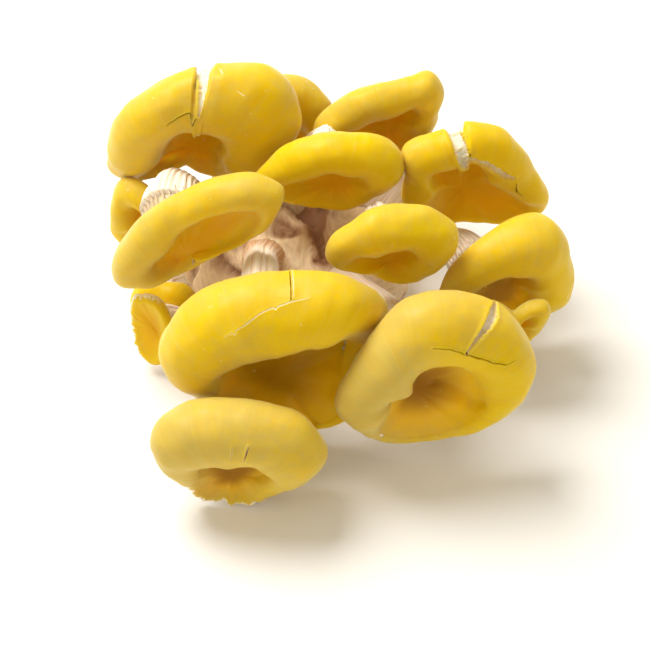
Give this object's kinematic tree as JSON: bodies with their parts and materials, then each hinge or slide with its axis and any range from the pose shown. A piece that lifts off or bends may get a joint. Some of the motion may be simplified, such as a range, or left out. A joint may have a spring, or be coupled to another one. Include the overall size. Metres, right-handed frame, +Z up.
{
  "type": "oyster mushroom cluster",
  "caption": "Cluster of yellow oyster mushrooms laid on its side: funnel caps with rolled rims, some split, on pale ribbed stems fanning from one butt.",
  "frame": {"origin": "centre of the flat cut under the butt, in the plane the cluster rests on", "axes": "+Z up from the table, -Y the way most caps face, +X to the right seen from the front"},
  "size_m": [0.1221, 0.1292, 0.0635],
  "materials": {
    "cap_skin": "smooth moist skin, satin",
    "stem_flesh": "matt fibrous flesh",
    "butt_flesh": "matt fibrous flesh"
  },
  "bodies": {
    "root": {"butt": "butt_flesh", "cap_front_right": "cap_skin", "stem_front_right": "stem_flesh", "cap_front_middle": "cap_skin", "stem_front_middle": "stem_flesh", "cap_front_low": "cap_skin", "stem_front_low": "stem_flesh", "cap_left": "cap_skin", "stem_left": "stem_flesh", "cap_middle": "cap_skin", "stem_middle": "stem_flesh", "cap_middle_right": "cap_skin", "stem_middle_right": "stem_flesh", "cap_right": "cap_skin", "stem_right": "stem_flesh", "cap_right_back": "cap_skin", "stem_right_back": "stem_flesh", "cap_back_left": "cap_skin", "stem_back_left": "stem_flesh", "cap_back_middle": "cap_skin", "stem_back_middle": "stem_flesh", "cap_back_right": "cap_skin", "stem_back_right": "stem_flesh", "cap_left_back": "cap_skin", "stem_left_back": "stem_flesh", "cap_left_under": "cap_skin", "stem_left_under": "stem_flesh", "cap_left_low": "cap_skin", "stem_left_low": "stem_flesh", "cap_right_under": "cap_skin", "stem_right_under": "stem_flesh"}
  },
  "joints": []
}
